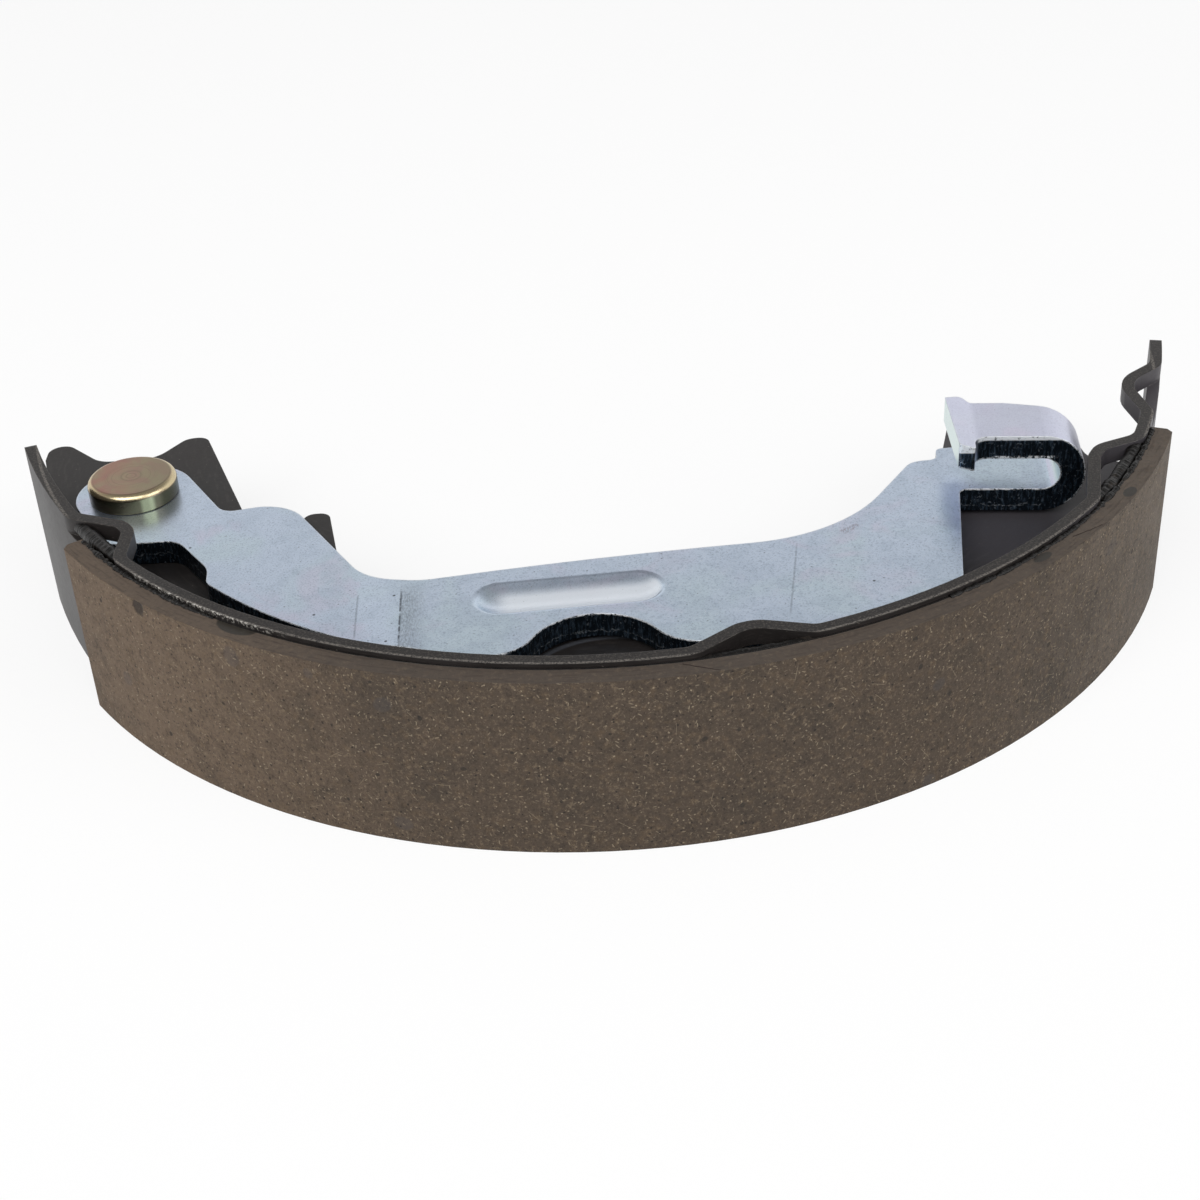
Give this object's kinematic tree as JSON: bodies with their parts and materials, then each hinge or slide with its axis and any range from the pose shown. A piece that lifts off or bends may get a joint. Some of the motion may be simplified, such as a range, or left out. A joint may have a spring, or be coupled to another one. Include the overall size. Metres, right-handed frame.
{
  "type": "drum brake shoe",
  "caption": "Lined drum brake shoe with a welded rim and web and a pivoting parking brake lever with a folded cable hook.",
  "frame": {"origin": "on the resting plane, under the middle of the whole part's box; the drum's axis is at x 0.4 mm, y 45.3 mm", "axes": "+Z along the drum's axis, up from the rim edge that the shoe lies on; +X from the pivot end of the lever towards its hook; +Y from the lining towards the drum's axis"},
  "size_m": [0.1968, 0.1094, 0.033],
  "materials": {
    "friction_material": "ground moulded friction compound, matt, with pale fibres and dark grains",
    "dark_painted_steel": "satin black-brown coating, worn bright at the sheared edges",
    "zinc_plated_steel": "clear zinc plating, satin, dark sheared edges",
    "yellow_zinc_steel": "yellow chromate zinc plating with turning marks",
    "spring_steel": "phosphated spring steel"
  },
  "bodies": {
    "shoe": {"shoe_rim": "dark_painted_steel", "shoe_web": "dark_painted_steel", "friction_lining": "friction_material", "lever_pin": "yellow_zinc_steel", "spring_washer": "spring_steel", "retainer_clip": "spring_steel"},
    "lever": {"parking_lever": "zinc_plated_steel"}
  },
  "joints": [
    {"name": "lever_pivot", "type": "hinge", "parent": "shoe", "child": "lever", "pos_m": [-0.07986, 0.0265, 0.01925], "axis": [0, 0, 1], "range_deg": [-1, 30]}
  ]
}
